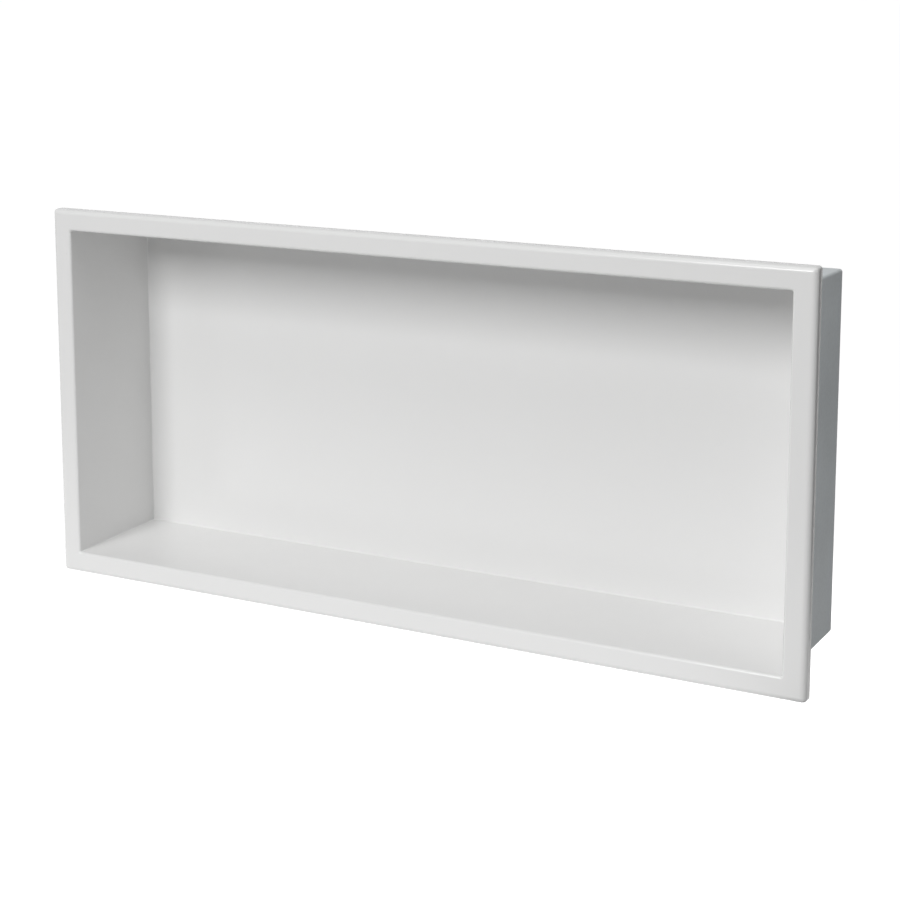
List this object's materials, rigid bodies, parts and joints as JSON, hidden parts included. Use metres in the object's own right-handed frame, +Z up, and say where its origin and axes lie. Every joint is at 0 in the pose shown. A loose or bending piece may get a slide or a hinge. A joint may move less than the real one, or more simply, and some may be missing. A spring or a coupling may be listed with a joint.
{
  "type": "shower niche insert",
  "caption": "Recessed wall niche for a shower: a folded sheet-steel tray with a flat flange, rolled edges and a floor that falls to the front, in white powder coat.",
  "frame": {"origin": "middle of the mouth, on the plane of the wall, where the rolled edge of the flange sits", "axes": "+X to the right seen from the room, +Y into the wall, +Z up"},
  "size_m": [0.6, 0.096, 0.282],
  "materials": {
    "powder_coat": "satin white powder coat on steel sheet"
  },
  "bodies": {
    "root": {"niche_insert": "powder_coat"}
  },
  "joints": []
}
